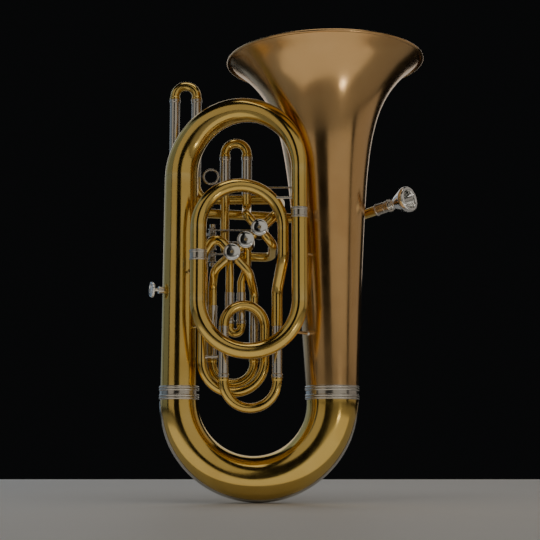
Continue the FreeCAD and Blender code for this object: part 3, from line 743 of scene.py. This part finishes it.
screw = {"knurlDepth": 0.035, "knurlFrom": 11.2, "knurlBand": (40.8, 44.2),
         "outline": [(0.0001, 27.5), (1.7, 27.5), (2.2, 28.2), (2.2, 38.6), (3.2, 39.0), (3.6, 39.6),
                     (3.6, 40.5), (10.6, 40.5), (11.4, 41.1), (11.4, 43.9), (10.6, 44.5), (9.2, 44.5),
                     (8.7, 43.2), (7.4, 42.7), (4.4, 42.7), (3.6, 43.0), (3.3, 43.6), (0.0001, 43.6)]}
thumbRing = {"middle": 11.0, "across": 1.6, "along": 1.75, "foot": 11.4,
             "footHalves": [1.2, 1.0, 0.95, 0.95, 1.0, 1.15, 1.35]}


def boxBar(shape, low, high, soft):                                      # a bar with softened edges
    middle = (low + high) / 2
    half = (high - low) / 2
    rings = []
    for height, inset in ((-half.z, soft), (-half.z + soft * 0.3, soft * 0.3), (-half.z + soft, 0.0),
                          (half.z - soft, 0.0), (half.z - soft * 0.3, soft * 0.3), (half.z, soft)):
        ring = []
        for quarter, (sx, sy) in enumerate(((1, 1), (-1, 1), (-1, -1), (1, -1))):
            for step in range(4):
                angle = math.pi / 2 * (quarter + step / 3)
                x = sx * (half.x - soft) + (soft - inset) * math.cos(angle)
                y = sy * (half.y - soft) + (soft - inset) * math.sin(angle)
                ring.append(middle + Vector((x, y, height)))
        rings.append(ring)
    addCapped(shape, rings)


def addSpring(shape, axle):
    half = lever["half"] - 2.3
    steps = lever["coils"] * 20
    coil = []
    for step in range(steps + 1):
        angle = 2 * math.pi * step / 20
        height = -half + 2 * half * step / steps
        coil.append(axle + Vector((lever["spring"] * math.cos(angle), lever["spring"] * math.sin(angle),
                                   height)) * mm)
    wire = [lever["springWire"] * mm] * len(coil)
    solidBar(shape, coil, wire, wire, 8)


def addFork(shape, axle):
    reach = lever["crank"]
    boxBar(shape, axle + Vector((-2.4, -reach + lever["forkHalf"] * 0.55, -2)) * mm,
           axle + Vector((2.4, -3.2, 2)) * mm, 0.7 * mm)
    ear = eased([(0.0001, 0), (2.45, 0), (2.45, 0.9), (0.0001, 0.9)], 0.2)
    for foot in lever["ears"]:
        turned(shape, ear, axle + Vector((0, -reach, foot)) * mm, up, 32)
        boxBar(shape, axle + Vector((-2.0, -reach, foot)) * mm,
               axle + Vector((2.0, -reach + 4.2, foot + 0.9)) * mm, 0.25 * mm)


def makeLever(number):
    axle = Vector(joints["lever_%d_press" % number]["pos_m"])
    half = lever["half"]
    drum = lever["drum"]
    hub = lever["hub"]
    bore = lever["bore"]
    barrel = [(bore, -half), (drum, -half), (drum, 1.4 - half), (hub, 1.8 - half), (hub, half - 1.8),
              (drum, half - 1.4), (drum, half), (bore, half)]
    shape = emptyShape()
    turned(shape, eased(barrel, 0.35), axle, up, 48)
    addSpring(shape, axle)
    addFork(shape, axle)

    corners = [axle + Vector(place) * mm for place in lever["bend"]]
    path = roundedPath(corners, lever["bendRadius"] * mm, 10)
    widths = []
    heights = []
    for index in range(len(path)):
        share = max(0.0, (index / (len(path) - 1) - 0.55) / 0.45)          # flattens towards the pad
        widths.append(lever["bar"] * (1 - 0.55 * share) * mm)
        heights.append(lever["bar"] * (1 + 0.85 * share) * mm)
    solidBar(shape, path, widths, heights, 24)
    padFoot = axle + Vector((lever["padX"], lever["padY"] - 1.1, 0)) * mm
    turned(shape, eased(lever["pad"], 0.3), padFoot, back, 56)
    finishPiece("lever%d" % number, shape, "lever_%d" % number)


def makeLink(number):
    node = "link_%d" % number
    pivot = Vector(joints[node + "_level"]["pos_m"])
    tipX = boxOf(node)["high"].x - link["eye"] * mm
    length = (tipX - pivot.x) / mm
    rod = link["nearRod"] + [(radius, length + along) for radius, along in link["farRod"]]
    shape = emptyShape()
    turned(shape, eased(link["tongue"], 0.25), pivot, up, 32)
    turned(shape, eased(rod, 0.2), pivot, Vector((1, 0, 0)), 24)
    turned(shape, eased(link["eyeShape"], 0.3), Vector((tipX, pivot.y - 1.4 * mm, pivot.z)), back, 40)
    finishPiece("link%d" % number, shape, node)


def screwKnurl(reach, height, side):
    low, high = screw["knurlBand"]
    onHead = reach > screw["knurlFrom"] and low < height < high
    return screw["knurlDepth"] if side % 4 < 2 and onHead else 0.0


def makeLyreScrew():
    turning = joints["lyre_screw_turn"]
    shape = emptyShape()
    turned(shape, eased(screw["outline"], 0.45), Vector(turning["pos_m"]), Vector(turning["axis"]), 120,
           screwKnurl)
    finishPiece("lyreScrew", shape, "lyre_screw")


def makeThumbRing():
    centre = Vector(mounts["thumb_ring_bore"]["pos_m"])
    outline = [(thumbRing["middle"] + thumbRing["across"] * math.cos(angle),
                thumbRing["along"] * math.sin(angle)) for angle in around(20)]
    shape = emptyShape()
    turned(shape, outline, centre, back, 72)
    tubeX = boxOf("thumb_ring")["high"].x + 0.2 * mm
    path = straight(centre + Vector((thumbRing["foot"], 0, 0)) * mm, Vector((tubeX, centre.y, centre.z)), 6)
    halves = [half * mm for half in thumbRing["footHalves"]]
    solidBar(shape, path, halves, halves, 20)
    finishPiece("thumbRing", shape, "thumb_ring")


for number in (1, 2, 3):
    makeLever(number)
    makeLink(number)
makeLyreScrew()
makeThumbRing()
print("levers and fittings made")


# Floor, backdrop, light and camera.

studio = {"floorSize": (6.4, 4.4), "floorMiddle": (0.0, -1.1), "air": 0.004,
          "floorColour": (0.80, 0.79, 0.77), "floorPatches": (0.74, 0.73, 0.71),
          "cameraAt": (0.0207, -1.72, 0.085), "cameraTo": (0.0207, 0.0, 0.3355), "focal": 79.0,
          "panels": [
              ("rightFront", 33.0, 2.3, 1.16, (3.1, 2.2), 8.6, (1.0, 0.93, 0.81)),
              ("rightSide", 98.0, 2.2, 1.16, (2.4, 2.2), 4.6, (1.0, 0.90, 0.80)),
              ("leftFront", -47.0, 2.3, 1.16, (1.6, 2.2), 4.0, (1.0, 0.92, 0.80)),
              ("leftSide", -92.0, 2.2, 1.16, (1.8, 2.2), 2.8, (0.66, 0.82, 1.0)),
              ("leftBack", -137.0, 2.2, 1.16, (1.9, 2.2), 4.4, (0.60, 0.78, 1.0)),
              ("behind", 178.0, 2.4, 1.45, (2.6, 1.7), 8.5, (1.0, 0.95, 0.88)),
              ("overhead", 20.0, 0.4, 2.2, (1.5, 1.0), 5.5, (1.0, 0.95, 0.88))],
          "lowHeight": 0.012,
          "lowPanels": [
              ("lowFill", 0.05, -0.36, (1.4, 0.62), 1.0, (1.0, 0.94, 0.84)),
              ("lowGlint", 0.58, -0.74, (0.16, 0.16), 0.55, (1.0, 0.97, 0.92))]}


def makeFloor():
    material, tree, shader, place = startMaterial("floor")
    patches = noiseFrom(tree, place, 2.2, 4)
    tone = rampFrom(tree, patches, [(0.2, studio["floorPatches"]), (0.8, studio["floorColour"])])
    tree.links.new(tone, shader.inputs["Base Color"])
    tree.links.new(spread(tree, patches, 0.55, 0.7), shader.inputs["Roughness"])
    width, depth = studio["floorSize"]
    middleX, middleY = studio["floorMiddle"]
    corners = [(middleX + sx * width / 2, middleY + sy * depth / 2, cadLow.z - 0.0002)
               for sx, sy in ((-1, -1), (1, -1), (1, 1), (-1, 1))]
    mesh = bpy.data.meshes.new("floor")
    mesh.from_pydata(corners, [], [(0, 1, 2, 3)])
    floor = bpy.data.objects.new("floor", mesh)
    mesh.materials.append(material)
    bpy.context.scene.collection.objects.link(floor)


def addPanel(name, place, direction, size, power, colour):
    light = bpy.data.lights.new(name, "AREA")
    light.shape = "RECTANGLE"
    light.size, light.size_y = size
    light.energy = power
    light.color = colour
    panel = bpy.data.objects.new(name, light)
    panel.location = place
    panel.rotation_euler = direction.to_track_quat("-Z", "Y").to_euler()
    panel.visible_camera = False
    bpy.context.scene.collection.objects.link(panel)


def makeLights():
    world = bpy.data.worlds.new("studio air")
    world.use_nodes = True
    sky = world.node_tree.nodes["Background"]
    sky.inputs["Color"].default_value = (0.9, 0.95, 1.0, 1)
    sky.inputs["Strength"].default_value = studio["air"]
    bpy.context.scene.world = world
    aim = Vector(studio["cameraTo"])
    for name, bearing, distance, height, size, power, colour in studio["panels"]:
        angle = math.radians(bearing)                                      # 0 is the player's side
        place = Vector((distance * math.sin(angle), -distance * math.cos(angle), height))
        addPanel(name, place, aim - place, size, power, colour)
    for name, x, y, size, power, colour in studio["lowPanels"]:
        addPanel(name, Vector((x, y, studio["lowHeight"])), up, size, power, colour)


def makeCamera():
    lens = bpy.data.cameras.new("camera")
    lens.lens = studio["focal"]
    camera = bpy.data.objects.new("camera", lens)
    camera.location = studio["cameraAt"]
    direction = Vector(studio["cameraTo"]) - Vector(studio["cameraAt"])
    camera.rotation_euler = direction.to_track_quat("-Z", "Y").to_euler()
    bpy.context.scene.collection.objects.link(camera)
    bpy.context.scene.camera = camera


makeFloor()
makeLights()
makeCamera()
print("studio set")
